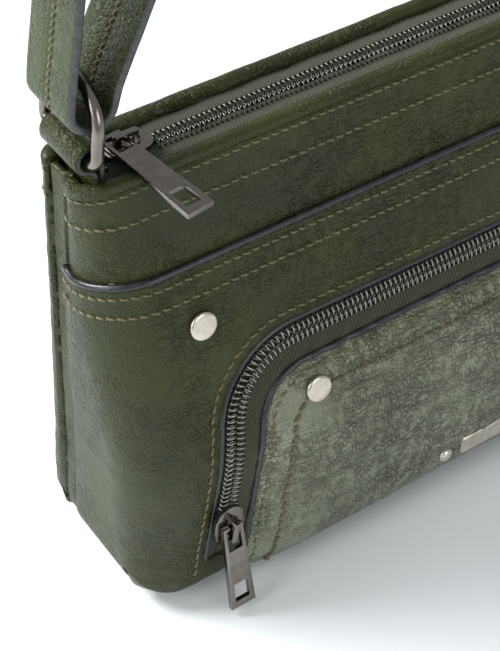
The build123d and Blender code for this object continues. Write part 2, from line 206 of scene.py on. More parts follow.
# ---- smooth paths made of straight runs and arcs ----
class Route:
    """A plane path through corner points, each rounded by its own radius."""

    def __init__(self, points, radii):
        points = [np.array(p, float) for p in points]
        self.parts = []
        start = points[0]
        for before, corner, after, radius in zip(points, points[1:], points[2:], radii):
            into = (corner - before) / np.linalg.norm(corner - before)
            out = (after - corner) / np.linalg.norm(after - corner)
            turn = math.atan2(into[0] * out[1] - into[1] * out[0], float(into @ out))
            reach = radius * abs(math.tan(turn / 2))
            first = corner - into * reach
            side = np.array([-into[1], into[0]]) * math.copysign(1, turn)
            self.add_line(start, first)
            self.parts.append(("arc", abs(turn) * radius, first + side * radius, radius, first, turn))
            start = corner + out * reach
        self.add_line(start, points[-1])
        self.length = sum(part[1] for part in self.parts)

    def add_line(self, a, b):
        """Adds a straight run."""
        size = float(np.linalg.norm(b - a))
        if size > 1e-6:
            self.parts.append(("line", size, a, (b - a) / size))

    def at(self, distance):
        """Point and direction at a distance along the path, which runs on straight past its ends."""
        left = distance
        for index, part in enumerate(self.parts):
            last = index == len(self.parts) - 1
            if left <= part[1] or last:
                if part[0] == "line":
                    return part[2] + part[3] * left, part[3]
                _, _, centre, radius, first, turn = part
                angle = math.copysign(left / radius, turn)
                arm = first - centre
                c, s = math.cos(angle), math.sin(angle)
                spoke = np.array([arm[0] * c - arm[1] * s, arm[0] * s + arm[1] * c])
                ahead = np.array([-spoke[1], spoke[0]]) / radius * math.copysign(1, turn)
                return centre + spoke, ahead
            left -= part[1]


# Side profiles in (y, z), from the rim down the face and under the base.
front_profile = Route([(-TOP_HALF, RIM), (-BASE_FRONT, KNEE), (-BASE_FRONT, 0), (0, 0)], [60, BASE_ROUND])
back_profile = Route([(TOP_HALF, RIM), (BASE_BACK, 0), (0, 0)], [BASE_ROUND])
FRONT, BACK = (front_profile, FRONT_SEAM), (back_profile, BACK_SEAM)
BACK_CORNER = 4.5
CORNER_WIDENS, CORNER_NARROWS, CORNER_SETTLES = 34.0, 108.0, 26.0  # distances down the front profile


def corner_at(profile, v):
    """Radius of the bag's upright corners: tight at the rim, fuller below in front, tight at the base."""
    if profile is back_profile:
        return BACK_CORNER * (1 + clamp(v / 100))
    fuller = CORNER + (WIDE_CORNER - CORNER) * clamp(v / CORNER_WIDENS) ** 0.8
    return fuller - (fuller - BASE_ROUND + 0.5) * clamp((v - CORNER_NARROWS) / CORNER_SETTLES) ** 2


def skin(profile, u, v, out=0.0):
    """Point of the bag's surface: u across from the middle, v down the profile, out from it."""
    point, ahead = profile.at(v)
    normal = np.array([ahead[1], -ahead[0]])
    if profile is back_profile:
        normal = -normal
    radius = corner_at(profile, v)
    straight = WIDE_CORNER - radius
    run = max(0.0, abs(u) - (HALF_WIDTH - WIDE_CORNER)) / (WIDE_CORNER * math.pi / 2)
    run = min(run, 1.0) * (straight + radius * math.pi / 2)
    angle = max(0.0, run - straight) / radius
    side = math.copysign(1, u)
    inner = point - normal * radius + normal * (radius + out) * math.cos(angle)
    flat = min(abs(u), HALF_WIDTH - WIDE_CORNER) + min(run, straight)
    return np.array([side * (flat + (radius + out) * math.sin(angle)), inner[0], inner[1]])


def v_at_height(profile, height):
    """Distance down a profile at which it reaches a height."""
    low, high = 0.0, profile.length
    for _ in range(40):
        middle = (low + high) / 2
        if profile.at(middle)[0][1] > height:
            low = middle
        else:
            high = middle
    return low


def flat_end(profile):
    """Distance down a profile where it turns under, and the flat ends of the bag stop."""
    return v_at_height(profile, BASE_ROUND)


U_END = HALF_WIDTH - WIDE_CORNER + WIDE_CORNER * math.pi / 2
BEAD_V = v_at_height(front_profile, RIM - BAND_DROP)


def seam_y(seam, z):
    """Depth of a gusset seam at a height."""
    return seam[1] + (seam[0] - seam[1]) * z / RIM


def end_dip(y, z):
    """How far the end of the bag sinks in about its gusset."""
    middle = (seam_y(FRONT_SEAM, z) + seam_y(BACK_SEAM, z)) / 2
    return -0.9 * clamp((z - 9) / 25) * math.exp(-(((y - middle) / 6.0) ** 2)) * (0.75 + 0.25 * z / RIM)


def fbm(x, y, z, scale, seed=0.0):
    """Soft noise of about -1 to 1 at a scale in millimetres."""
    return noise.fractal(Vector((x / scale + seed, y / scale - seed, z / scale + 2 * seed)), 1.0, 2.0, 3)


def fill_region(outline, holes, step):
    """Triangulates a plane region with an even net of inner points; gives points and faces."""
    points = [Vector(p) for p in outline]
    loops = [list(range(len(outline)))]
    for hole in holes:
        first = len(points)
        points += [Vector(p) for p in hole]
        loops.append(list(range(first, len(points))))
    edges = [(a, b) for loop in loops for a, b in zip(loop, loop[1:] + loop[:1])]
    rings = [np.array([tuple(points[i]) for i in loop]) for loop in loops]

    def inside(p):
        state = False
        for ring in rings:
            x0, y0 = ring[:, 0], ring[:, 1]
            x1, y1 = np.roll(x0, -1), np.roll(y0, -1)
            cross = (y0 > p[1]) != (y1 > p[1])
            with np.errstate(divide="ignore", invalid="ignore"):
                at = x0 + (p[1] - y0) * (x1 - x0) / (y1 - y0)
            state ^= bool(np.count_nonzero(cross & (p[0] < at)) % 2)
        return state

    border = np.concatenate(rings)
    low, high = border.min(0), border.max(0)
    rows = int((high[1] - low[1]) / step) + 2
    columns = int((high[0] - low[0]) / step) + 2
    for row in range(rows):
        for column in range(columns):
            shift = 0.5 * step if row % 2 else 0.0
            p = (low[0] + column * step + shift, low[1] + row * step * 0.9)
            if inside(p) and np.min(np.hypot(*(border - p).T)) > step * 0.55:
                points.append(Vector(p))
    verts, _, faces, _, _, _ = delaunay_2d_cdt(points, edges, [], 0, 1e-5)
    good = []
    for face in faces:
        middle = sum((verts[i] for i in face), Vector((0, 0))) / len(face)
        if inside(tuple(middle)):
            good.append(tuple(face))
    return [tuple(v) for v in verts], good


def resample(points, step, closed=True):
    """Evenly spaced points along a polygon, its own corners kept."""
    out = []
    for a, b in zip(points, points[1:] + points[:1] if closed else points[1:]):
        a, b = np.array(a, float), np.array(b, float)
        count = max(1, int(round(np.linalg.norm(b - a) / step)))
        out += [tuple(a + (b - a) * i / count) for i in range(count)]
    return out if closed else out + [tuple(points[-1])]


# ---- the pocket's arched outline, in (x, z) ----
def arch_route(inward, foot=MOUTH_FOOT):
    """Open arch from the left foot over the top to the right foot, moved in from the cut edge."""
    flare = math.tan(MOUTH_FLARE)
    top = MOUTH_TOP - inward
    low = MOUTH_HALF - inward + (MOUTH_FOOT - foot) * flare
    high = MOUTH_HALF - inward - (top - MOUTH_FOOT) * flare
    radius = MOUTH_RADIUS - inward * 0.7
    return Route([(-low, foot), (-high, top), (high, top), (low, foot)], [radius, radius])


DOWNS = np.linspace(0, front_profile.length - 22, 400)[::-1]
HEIGHTS = np.array([front_profile.at(v)[0][1] for v in DOWNS])


def height_to_v(z):
    """Distance down the front profile for a height."""
    return float(np.interp(z, HEIGHTS, DOWNS))


def on_front(x, z, out=0.0):
    """Point standing out from the front face at a height."""
    return skin(front_profile, x, height_to_v(z), out)


def front_normal(x, z):
    """Outward direction of the front face at a height."""
    a, b = on_front(x, z, 0), on_front(x, z, 1)
    return (b - a) / np.linalg.norm(b - a)


# ---- materials ----
class Surface:
    """A principled material and the nodes that feed it.  Its space is in millimetres."""

    def __init__(self, name, base, roughness, **sockets):
        self.material = bpy.data.materials.new(name)
        self.material.use_nodes = True
        self.tree = self.material.node_tree
        self.shader = self.tree.nodes["Principled BSDF"]
        sockets.update(Base_Color=(*base, 1), Roughness=roughness)
        for socket, value in sockets.items():
            self.shader.inputs[socket.replace("_", " ")].default_value = value

    def node(self, kind, inputs, **settings):
        """Adds a node; inputs maps a socket to a value or to another node's output."""
        item = self.tree.nodes.new("ShaderNode" + kind)
        for key, value in settings.items():
            setattr(item, key, value)
        for key, value in inputs.items():
            if isinstance(value, bpy.types.NodeSocket):
                self.tree.links.new(value, item.inputs[key])
            else:
                item.inputs[key].default_value = value
        return item

    def feed(self, socket, output):
        """Links an output to one of the shader's sockets."""
        self.tree.links.new(output, self.shader.inputs[socket])

    def vector(self, operation, a, b):
        """Output of a vector math node."""
        return self.node("VectorMath", {0: a, 1: b}, operation=operation).outputs[0]

    def point(self):
        """Object coordinates in millimetres."""
        return self.vector("MULTIPLY", self.node("TexCoord", {}).outputs["Object"], (1000, 1000, 1000))

    def turned(self, point, rotation, scale=(1, 1, 1)):
        """A point turned and stretched."""
        return self.node("Mapping", {"Vector": point, "Rotation": rotation, "Scale": scale}).outputs[0]

    def math(self, operation, a, b, clamped=False):
        """Output of a math node on outputs or numbers."""
        return self.node("Math", {0: a, 1: b}, operation=operation, use_clamp=clamped).outputs[0]

    def times(self, a, b, clamped=False):
        """Product of outputs or numbers."""
        return self.math("MULTIPLY", a, b, clamped)

    def noise(self, point, scale, detail, roughness=0.5, output="Fac"):
        """Soft noise."""
        inputs = {"Vector": point, "Scale": scale, "Detail": detail, "Roughness": roughness}
        return self.node("TexNoise", inputs).outputs[output]

    def cells(self, point, scale):
        """Distance to the edges of an irregular net."""
        inputs = {"Vector": point, "Scale": scale}
        return self.node("TexVoronoi", inputs, feature="DISTANCE_TO_EDGE").outputs["Distance"]

    def wave(self, point, scale, distortion, detail):
        """Fine parallel bands."""
        inputs = {"Vector": point, "Scale": scale, "Distortion": distortion, "Detail": detail}
        return self.node("TexWave", inputs).outputs["Fac"]

    def ramp(self, factor, low, dark, high, light):
        """Colour from dark to light as the factor goes from low to high."""
        item = self.node("ValToRGB", {"Fac": factor})
        for element, position, colour in zip(item.color_ramp.elements, (low, high), (dark, light)):
            element.position = position
            element.color = (*colour, 1)
        return item.outputs["Color"]

    def mix(self, factor, a, colour):
        """Mix of an output with a colour."""
        inputs = {0: factor, 6: a, 7: (*colour, 1)}
        return self.node("Mix", inputs, data_type="RGBA").outputs[2]

    def bump(self, height, strength, distance):
        """Relief of the surface, its distance in metres."""
        inputs = {"Height": height, "Strength": strength, "Distance": distance}
        self.feed("Normal", self.node("Bump", inputs).outputs["Normal"])


LEATHER_ROUGHNESS = 0.42
CREASE_LAYERS = [  # stretch, turn, net size and share of the creases
    ((1, 2.2, 2.6), 0.5, 0.26, 0.6),
    ((2.4, 1, 1.3), -0.7, 0.36, 0.6),
    ((1, 1, 1), 0.2, 0.75, 0.4),
]


def leather(name, dark, light, grain, creases, pebble=1.1, relief=0.0006, gloss=0.32):
    """Faux leather: pebbled grain, fine creases and cloudy colour, with painted highlights on the pebble tops
    and painted shade in the creases.
    """
    surface = Surface(name, light, LEATHER_ROUGHNESS, Specular_IOR_Level=gloss)
    times = surface.times
    point = surface.point()
    warp = surface.noise(point, 0.16, 4.0, output="Color")
    bent = surface.vector("ADD", point, surface.vector("MULTIPLY", warp, (1.4, 1.4, 1.4)))
    pebbles = times(surface.cells(bent, 1 / pebble), 2.4, clamped=True)
    crease = 0.0
    for stretch, turn, size, share in CREASE_LAYERS:
        laid = surface.turned(bent, (0.3, turn, turn), stretch)
        line = surface.math("SUBTRACT", 1.0, times(surface.cells(laid, size), 7.0, clamped=True))
        fade = times(surface.math("SUBTRACT", surface.noise(laid, size * 0.5, 1.0), 0.4), 5.0, clamped=True)
        crease = surface.math("ADD", crease, times(times(line, fade), share))
    patchy = times(surface.math("SUBTRACT", surface.noise(point, 0.03, 2.0), 0.3), 4.0, clamped=True)
    crease = times(crease, patchy)
    cloud = surface.noise(point, 0.045, 5.0, 0.6)
    # Painted highlight: the tops of the pebbles are mixed towards a paler tone, as if they catch the light.
    pebble_highlight = tuple(c * 1.5 + 0.006 for c in light)
    cloud_with_highlights = surface.mix(times(pebbles, 0.22), surface.ramp(cloud, 0.3, dark, 0.7, light), pebble_highlight)
    # Painted shade: the creases are darkened towards half the dark tone, as if shade lies in them.
    hollow = times(crease, min(0.6, creases * 0.4), clamped=True)
    surface.feed("Base Color", surface.mix(hollow, cloud_with_highlights, tuple(c * 0.5 for c in dark)))
    rough = surface.math("ADD", LEATHER_ROUGHNESS - 0.1, times(cloud, 0.2))
    surface.feed("Roughness", surface.math("SUBTRACT", rough, times(pebbles, 0.06)))
    surface.bump(surface.math("ADD", times(pebbles, grain * 0.2), times(crease, -creases)), 0.9, relief)
    return surface.material


def twill(name):
    """Olive zip tape with a fine diagonal weave."""
    surface = Surface(name, (0.1, 0.11, 0.045), 0.85, Sheen_Weight=0.25, Sheen_Roughness=0.5)
    point = surface.point()
    warp = surface.wave(surface.turned(point, (0.0, 0.6, 0.7)), 0.5, 0.6, 1.0)
    weft = surface.wave(surface.turned(point, (0.0, -0.8, -0.9)), 0.9, 0.3, 2.0)
    weave = surface.times(warp, surface.math("ADD", surface.times(weft, 0.5), 0.5))
    fuzz = surface.times(surface.noise(point, 0.5, 4.0), 0.4)
    colour = surface.ramp(weave, 0.1, (0.012, 0.015, 0.005), 0.75, (0.055, 0.063, 0.022))
    surface.feed("Base Color", surface.mix(fuzz, colour, (0.04, 0.044, 0.016)))
    surface.bump(weave, 0.8, 0.00025)
    return surface.material


def metal(name, base, roughness):
    """Plated metal with faint scratches and smudges."""
    surface = Surface(name, base, roughness, Metallic=1.0)
    point = surface.point()
    smudge = surface.noise(point, 0.35, 5.0)
    dark, light = tuple(c * 0.82 for c in base), tuple(c * 1.12 for c in base)
    surface.feed("Base Color", surface.ramp(smudge, 0.3, dark, 0.7, light))
    surface.feed("Roughness", surface.math("ADD", roughness - 0.06, surface.times(smudge, 0.14)))
    surface.bump(surface.noise(point, 3.0, 3.0), 0.05, 0.0001)
    return surface.material


def mottled(name, dark, light, roughness, scale, strength, **sockets):
    """Mottled colour with a fine bump, for paint, thread, board and lining."""
    surface = Surface(name, light, roughness, **sockets)
    mottle = surface.noise(surface.point(), scale, 4.0)
    surface.feed("Base Color", surface.ramp(mottle, 0.35, dark, 0.65, light))
    surface.bump(mottle, strength, 0.0002)
    return surface.material


panel_leather = leather("panel_leather", (0.012, 0.017, 0.0015), (0.030, 0.038, 0.004), 0.5, 0.8)
# The pocket's own paler grey-green, lifted further as painted sheen: the base colour is raised to stand in
# for the floor's reflection on the glossy leather.
pocket_tone_and_sheen = (0.115, 0.128, 0.078), (0.215, 0.233, 0.16)
pocket_leather = leather("pocket_leather", *pocket_tone_and_sheen, 0.6, 1.5, pebble=1.5, relief=0.0011, gloss=0.55)
strap_leather = leather("strap_leather", (0.02, 0.028, 0.006), (0.045, 0.057, 0.017), 0.5, 0.9)
edge_paint = mottled("edge_paint", (0.010, 0.012, 0.013), (0.022, 0.025, 0.028), 0.26, 0.5, 0.3)
strap_edge = mottled("strap_edge", (0.035, 0.038, 0.04), (0.065, 0.07, 0.07), 0.42, 0.6, 0.4)
thread = mottled("thread", (0.055, 0.052, 0.014), (0.16, 0.14, 0.045), 0.6, 2.0, 0.6, Sheen_Weight=0.3)
cord_shades = (0.05, 0.042, 0.014), (0.15, 0.125, 0.05)
cord_thread = mottled("cord_thread", *cord_shades, 0.6, 3.0, 0.8, Sheen_Weight=0.3)
tape = twill("tape_twill")
gunmetal = metal("gunmetal", (0.2, 0.18, 0.16), 0.18)
nickel = metal("nickel", (0.62, 0.56, 0.48), 0.24)
coil_dark = metal("coil_dark", (0.12, 0.115, 0.1), 0.26)
coil_bright = metal("coil_bright", (0.26, 0.27, 0.24), 0.24)
lining_cloth = mottled("lining_cloth", (0.2, 0.13, 0.1), (0.32, 0.23, 0.18), 0.9, 1.2, 0.5)
board = mottled("board", (0.05, 0.05, 0.05), (0.09, 0.09, 0.09), 0.8, 0.8, 0.3)


# ---- leather panels ----
GRID = 1.7
PANEL_SIDES = (panel_leather, panel_leather)  # the face and the cut edge
SEAM_WELD = 0.4
UNDER_ROWS, UNDER_COLUMNS = 9, 16
UNDER_TURN = math.radians(78)


def wrinkle(x, y, z, amount, scale=9.0):
    """Soft handling creases, in millimetres."""
    broad = fbm(x, y, z, scale * 3.2, 3.1) * 0.7
    fold = 1 - abs(fbm(x, y, z * 1.4, scale, 1.7)) * 2.2
    return amount * (broad + 0.35 * max(fold, 0.0) ** 2)


def face_sheet(profile, outline, holes, lift):
    """Shape of the curved face over a (u, v) region; lift(u, v) is how far it stands out."""
    points, faces = fill_region(outline, holes, GRID)
    return [skin(profile, u, v, lift(u, v)) for u, v in points], faces


def end_sheet(side, outline, lift, edge):
    """Mesh of the flat end of the bag over a (y, z) region, its first points joined to the corner's edge."""
    points, faces = fill_region(outline, [], GRID)
    verts = [np.array([side * (HALF_WIDTH + end_dip(y, z) + lift(y, z)), y, z]) for y, z in points]
    verts[: len(edge)] = edge
    if side > 0:
        faces = [face[::-1] for face in faces]
    return verts, faces


def corner_rows(profile, v_low, v_high):
    """Distances down the profile of the points where a face meets the flat end."""
    count = int(round((v_high - v_low) / GRID))
    flat = flat_end(profile)
    rows = [v_low + (v_high - v_low) * i / count for i in range(count + 1)]
    rows = [v for v in rows if v < flat]
    return rows + [flat] if v_high > flat else rows


def wing_outline(profile, seam, rows):
    """Flat end region between the rounded corner and a gusset seam."""
    line = [tuple(skin(profile, U_END, v)[1:]) for v in rows]
    z_top, z_low = line[0][1], line[-1][1]
    back = resample([(seam_y(seam, z_low), z_low), (seam_y(seam, z_top), z_top)], GRID, closed=False)
    top = resample([back[-1], line[0]], GRID, closed=False)[1:-1]
    bottom = resample([line[-1], back[0]], GRID, closed=False)[1:-1]
    return line + bottom + back + top


def under_sheet(side, profile, seam, lift):
    """Rounded lower edge of the flat end, from the corner to the gusset seam."""
    start = skin(profile, U_END, flat_end(profile))[1]
    verts = []
    for i in range(UNDER_ROWS + 1):
        angle = UNDER_TURN * i / UNDER_ROWS
        z = BASE_ROUND * (1 - math.sin(angle))
        for j in range(UNDER_COLUMNS + 1):
            y = start + (seam_y(seam, z) - start) * j / UNDER_COLUMNS
            x = HALF_WIDTH - BASE_ROUND + (BASE_ROUND + lift(y, z) + end_dip(y, BASE_ROUND)) * math.cos(angle)
            verts.append(np.array([side * x, y, z]))
    return verts, grid_faces(UNDER_ROWS, UNDER_COLUMNS)


def wrapped_panel(name, face, node_name, v_low, v_high, lift, holes=(), thickness=LEATHER):
    """Panel that covers a face, turns round both corners and ends at the gusset seams."""
    profile, seam = face
    corners = [(-U_END, v_low), (U_END, v_low), (U_END, v_high), (-U_END, v_high)]
    parts = [face_sheet(profile, resample(corners, GRID), holes, lift)]
    for side in (-1, 1):
        edge = side * U_END

        def wing_lift(y, z):
            v = height_to_v(z) if profile is front_profile else RIM - z
            return lift(edge, v) - 0.8 * math.exp(-abs(y - seam_y(seam, z)) / 1.2)

        rows = corner_rows(profile, v_low, v_high)
        joint = [skin(profile, edge, v, lift(edge, v)) for v in rows]
        parts.append(end_sheet(side, wing_outline(profile, seam, rows), wing_lift, joint))
        if v_high > flat_end(profile):
            parts.append(under_sheet(side, profile, seam, wing_lift))
    piece = new_piece(name, joined(parts), PANEL_SIDES)
    with edited(piece) as bm:
        bmesh.ops.remove_doubles(bm, verts=bm.verts, dist=SEAM_WELD * MM)
        bmesh.ops.dissolve_degenerate(bm, dist=SEAM_WELD * MM, edges=bm.edges)
    aim_outwards(piece)
    thicken(piece, thickness)
    place(piece, "bag", [node_name])


def front_puff(u, v):
    """Stand-off of the front leather: soft hollows at the seams, handling creases between."""
    p = skin(front_profile, u, v)
    return wrinkle(p[0], p[1], p[2], 0.28) * min(1.0, abs(v - BEAD_V) / 5.0, abs(v) / 5.0)


def band_lift(u, v):
    """The upper band, hollow along its stitched edges."""
    return front_puff(u, v) - 0.1


def lower_lift(u, v):
    """The lower panel lies over the band's lower edge and puffs out a little below it."""
    down = max(0.0, v - BEAD_V)
    lip = 0.315 * math.exp(-((down / 6) ** 2))
    puff = 0.72 * math.sin(min(1, down / 60) * math.pi)
    return 0.75 + lip + puff + 1.3 * front_puff(u, v)


def back_lift(u, v):
    """The back is plain and almost flat."""
    return wrinkle(u, 0, v, 0.5, 14) * min(1, v / 6)


def mouth_hole(inward=0.0, foot=MOUTH_FOOT):
    """The pocket mouth as a closed (u, v) outline."""
    route = arch_route(inward, foot)
    count = int(route.length / GRID)
    line = [route.at(route.length * i / count)[0] for i in range(count + 1)]
    points = [(x, height_to_v(z)) for x, z in line]
    return points + resample([points[-1], points[0]], GRID, closed=False)[1:-1]


wrapped_panel("front_band", FRONT, "front_top_band", 0.0, BEAD_V + 3, band_lift)
BASE_V = height_to_v(0.35)
wrapped_panel("lower_panel", FRONT, "front_lower_panel", BEAD_V, BASE_V, lower_lift, [mouth_hole()], 1.7)
wrapped_panel("back_skin", BACK, "back_panel", 0.0, v_at_height(back_profile, 0.3), back_lift)

# ---- pocket panel: bulging leather inside the arch ----
pocket_route = arch_route(POCKET_GAP, POCKET_FOOT)
pocket_line = np.array([pocket_route.at(d)[0] for d in np.linspace(0, pocket_route.length, 260)])
POCKET_EDGE = 0.9


def pocket_lift(u, v):
    """Stand-off of the pocket panel: up from the zip at its edge, fullest low in the middle."""
    z = front_profile.at(v)[0][1]
    away = float(np.min(np.hypot(pocket_line[:, 0] - u, pocket_line[:, 1] - z)))
    rise = 1 - math.exp(-away / 9.0)
    under = clamp((z - 1.0) / 13.0) ** 0.6
    swell = 2.2 + 4.6 * rise + 1.6 * math.exp(-(((z - 30) / 26) ** 2)) * rise
    crumple = wrinkle(u, 3.0, v, 0.8, 6.0) * min(1.0, away / 5)
    pleat = 0.25 * math.sin(u * 0.8 + 3 * fbm(u, 0, v, 11)) * math.exp(-away / 6)
    return POCKET_EDGE + (swell - POCKET_EDGE + crumple + pleat) * under


pocket_shape = face_sheet(front_profile, mouth_hole(POCKET_GAP, POCKET_FOOT), [], pocket_lift)
pocket_skin = new_piece("pocket_skin", pocket_shape, [pocket_leather, edge_paint])
aim_outwards(pocket_skin)
thicken(pocket_skin, 1.5)
place(pocket_skin, "bag", ["pocket_panel", "pocket_gusset"])

# ---- gussets: sunk strips between the front and back seams ----
GUSSET_TOP, GUSSET_FOOT = 137.2, 2.0
GUSSET_ROWS, GUSSET_COLUMNS = 84, 24
GUSSET_TUCK = 0.16  # how far it runs in behind each seam, as a share of its width


def gusset(side, word):
    """End strip from the rim down and under to the base."""
    verts = []
    for i in range(GUSSET_ROWS + 1):
        z = GUSSET_TOP + (GUSSET_FOOT - GUSSET_TOP) * i / GUSSET_ROWS
        for j in range(GUSSET_COLUMNS + 1):
            t = -GUSSET_TUCK + (1 + 2 * GUSSET_TUCK) * j / GUSSET_COLUMNS
            y = seam_y(FRONT_SEAM, z) * (1 - t) + seam_y(BACK_SEAM, z) * t
            under = max(0.0, BASE_ROUND - z)
            x = HALF_WIDTH - BASE_ROUND + math.sqrt(max(BASE_ROUND**2 - under**2, 0)) + end_dip(y, z)
            x -= 0.6 * min(2.6, abs(2 * t - 1) ** 8) - 0.3 * fbm(y, z, side * 9, 12)
            verts.append((side * (x - 0.1), y, z))
    piece = new_piece("gusset_skin_" + word, (verts, grid_faces(GUSSET_ROWS, GUSSET_COLUMNS)), PANEL_SIDES)
    aim_outwards(piece)
    thicken(piece, LEATHER)
    place(piece, "bag", ["gusset_" + word])


gusset(-1, "left")
gusset(1, "right")


# ---- curves in space ----
def unit(v):
    """A vector scaled to length one."""
    return v / max(float(np.linalg.norm(v)), 1e-9)


def sweep(points, ups, section):
    """Sweeps a closed (side, up) section, or one for each index, along a path."""
    points = np.array(points)
    rings = []
    for index, (p, ahead, up) in enumerate(zip(points, np.gradient(points, axis=0), ups)):
        t = unit(ahead)
        side = unit(np.cross(t, up))
        top = unit(np.cross(side, t))
        shape = section(index) if callable(section) else section
        rings.append([p + side * a + top * b for a, b in shape])
    return tube(rings)


def circle(radius, sides, flat=1.0):
    """Round section, flattened by a factor."""
    turns = [2 * math.pi * k / sides for k in range(sides)]
    return [(radius * math.cos(a), flat * radius * math.sin(a)) for a in turns]


class Track:
    """A line in space; called with a distance, it gives the point, direction and up there."""

    def __init__(self, points, ups):
        self.points, self.ups = np.array(points), ups
        self.steps = np.linalg.norm(np.diff(self.points, axis=0), axis=1)
        self.at = np.concatenate([[0], np.cumsum(self.steps)])
        self.length = self.at[-1]

    def __call__(self, d):
        if d > self.length:
            return None
        k = min(int(np.searchsorted(self.at, d, side="right")) - 1, len(self.steps) - 1)
        t = (d - self.at[k]) / self.steps[k]
        low, high = self.points[k], self.points[k + 1]
        return low * (1 - t) + high * t, unit(high - low), np.array(self.ups[k])


def spaced(spots, pitch):
    """Point, direction and up of each stitch, a pitch apart, until spots(d) gives None."""
    d = pitch * 0.5
    while (spot := spots(d)) is not None:
        yield spot
        d += pitch


STITCH_END = [(0.3, 1.0, 0.12), (0.75, 0.85, -0.15), (1, 0.35, -0.9)]  # (along, size, rise) of its rings
STITCH = [(-along, size, rise) for along, size, rise in STITCH_END[::-1]] + STITCH_END
SEAM_PITCH, SEAM_THREAD = 2.9, 0.34
TWIST_RINGS = 9


def stitches(spots, pitch, radius, lean=0.2, fill=0.86):
    """Thread stitches that dive into the leather at both ends."""
    parts = []
    for p, t, up in spaced(spots, pitch):
        side = unit(np.cross(t, up))
        t = unit(t + side * (lean + random.uniform(-0.05, 0.05)))
        side = unit(np.cross(t, up))
        half = pitch * fill / 2 * random.uniform(0.93, 1.05)
        p = p + side * random.uniform(-0.06, 0.06) + up * radius * 0.2
        rings = []
        for along, size, rise in STITCH:
            middle = p + t * along * half + up * rise * radius
            rings.append([middle + (side * a + up * b) * size for a, b in circle(radius, 6)])
        parts.append(tube(rings))
    return joined(parts)


def twisted_stitches(spots, pitch, radius):
    """Thick decorative stitches, each of two strands twisted together."""
    parts = []
    for p, t, up in spaced(spots, pitch):
        side = unit(np.cross(t, up))
        t = unit(t + side * (0.16 + random.uniform(-0.05, 0.05)))
        half = pitch * 0.43 * random.uniform(0.9, 1.03)
        phase = random.uniform(0, 6)
        for strand in (0, 1):
            points = []
            for along in np.linspace(-1, 1, TWIST_RINGS):
                turn = phase + along * 3.6 + strand * math.pi
                rise = math.sin(turn) * 0.4 - 1.5 * abs(along) ** 5 + 0.35
                points.append(p + t * along * half + (side * math.cos(turn) * 0.5 + up * rise) * radius)
            sizes = [0.434] + [0.62] * (TWIST_RINGS - 2) + [0.434]
            parts.append(sweep(points, [up] * TWIST_RINGS, lambda index: circle(radius * sizes[index], 6)))
    return joined(parts)


def round_the_face(face, v, lift, extra=0.0, step=2.0):
    """Line across a face at distance v, round both corners to the seams: points and outward normals."""
    profile, seam = face
    corner = skin(profile, -U_END, v)
    y_step = -step if profile is front_profile else step
    wing = np.arange(seam_y(seam, corner[2]), corner[1], y_step)
    points, ups = [], []
    for y in wing:
        points.append([-(HALF_WIDTH + end_dip(y, corner[2]) + lift(-U_END, v) + extra), y, corner[2]])
        ups.append([-1, 0, 0])
    for u in np.arange(-U_END + 0.5, U_END, step):
        low, high = (skin(profile, u, v, lift(u, v) + extra + more) for more in (0, 1))
        points.append(low)
        ups.append(unit(high - low))
    for y in wing[::-1]:
        points.append([HALF_WIDTH + end_dip(y, corner[2]) + lift(U_END, v) + extra, y, corner[2]])
        ups.append([1, 0, 0])
    return [np.array(p) for p in points], [np.array(n, float) for n in ups]


def stitch_row(name, face, v, lift):
    """One row of stitching across a face."""
    add(name, stitches(Track(*round_the_face(face, v, lift)), SEAM_PITCH, SEAM_THREAD), [thread])


UPPER_ROW, LOWER_ROW = 3.2, 11.0
BACK_PROUD = 0.1
BEAD = 0.95
stitch_row("rim_stitches_upper", FRONT, UPPER_ROW, band_lift)
stitch_row("rim_stitches_lower", FRONT, LOWER_ROW, band_lift)
stitch_row("panel_stitches_upper", FRONT, BEAD_V + 3.0, lower_lift)
stitch_row("panel_stitches_lower", FRONT, BEAD_V + 8.6, lower_lift)
stitch_row("back_rim_stitches", BACK, UPPER_ROW, lambda u, v: BACK_PROUD)
stitch_row("back_rim_stitches_lower", BACK, LOWER_ROW, lambda u, v: BACK_PROUD)
bead_line = round_the_face(FRONT, BEAD_V - 0.2, lambda u, v: lower_lift(u, BEAD_V), extra=-0.55)
add("panel_bead", sweep(*bead_line, circle(BEAD, 10, 1.05)), [edge_paint])


# ---- rolled rims along the top opening ----
RIM_OUTSIDE = [(0.35, -1.6), (0.5, 0.2), (0.1, 1.0), (-0.9, 1.45), (-2.2, 1.4), (-3.2, 0.9), (-3.7, -0.3)]
RIM_INSIDE = [(-3.9, -2.6), (-2.7, -2.7), (-2.4, -0.5), (-1.4, -0.1), (-0.6, -0.8), (-0.5, -1.7)]


def rolled_rim(name, face, node_name):
    """Leather folded over the rim and down to the zip tape, round both corners."""
    rings = []
    for p, up in zip(*round_the_face(face, 0.6, lambda u, v: 0.0, step=1.6)):
        outward = unit(np.array([up[0], up[1], 0]))
        wave = 0.16 * fbm(p[0], p[1], p[2], 9, 5.0)
        section = [(a + wave, np.array([0, 0, b + wave * 0.6])) for a, b in RIM_OUTSIDE + RIM_INSIDE]
        rings.append([p + outward * out + lifted for out, lifted in section])
    piece = new_piece(name, tube(rings), [panel_leather])
    aim_outwards(piece, (0, 0, 120))
    place(piece, "bag", [node_name])


rolled_rim("front_rolled_rim", FRONT, "front_rim_facing")
rolled_rim("back_rolled_rim", BACK, "back_rim_facing")

# ---- zips ----
COIL_WIDTH, COIL_WIRE = 2.5, 0.3
COIL_TURN = 12  # points in one turn
TOP_TAPE_END = 121.8
TAPE_SECTION = [(-4.1, -0.3), (4.1, -0.3), (4.1, 0.35), (1.5, 0.55), (-1.5, 0.5), (-4.1, 0.35)]
RIBBON_ROWS, RIBBON_COLUMNS = 260, 9


